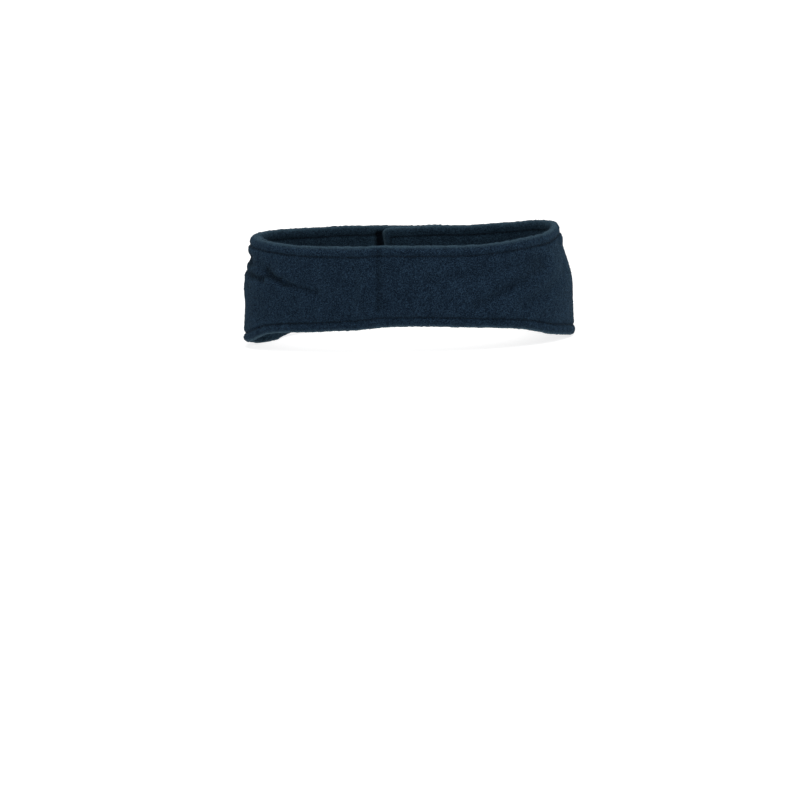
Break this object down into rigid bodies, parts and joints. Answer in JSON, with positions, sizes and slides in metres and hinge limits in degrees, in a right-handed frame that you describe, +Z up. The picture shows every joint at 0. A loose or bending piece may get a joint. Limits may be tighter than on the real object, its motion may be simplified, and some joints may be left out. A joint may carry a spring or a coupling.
{
  "type": "fleece headband",
  "caption": "Double-layer fleece ear-warmer headband, wider over the ears, topstitched round the edge and closed at the back with hook and loop tape patches.",
  "frame": {"origin": "on the surface that the headband stands on, under the middle of its bounding box", "axes": "+X along the band's long width, towards the wearer's left ear as it is worn facing -Y; +Y towards the closure at the back of the head; +Z up, from the lower edge to the rim"},
  "size_m": [0.2372, 0.1292, 0.08],
  "materials": {
    "outer_fleece": "short-pile polyester fleece, dark navy, matt with a soft sheen at the edges",
    "lining_fleece": "the same fleece on the side that lies against the head",
    "loop_tape": "brushed nylon loop tape, dark navy",
    "hook_tape": "woven nylon tape with rows of fine hooks, dark navy"
  },
  "bodies": {
    "root": {"outer_layer": "outer_fleece", "inner_layer": "lining_fleece", "loop_patch_1": "loop_tape", "loop_patch_2": "loop_tape", "loop_patch_3": "loop_tape", "hook_patch": "hook_tape"}
  },
  "joints": []
}
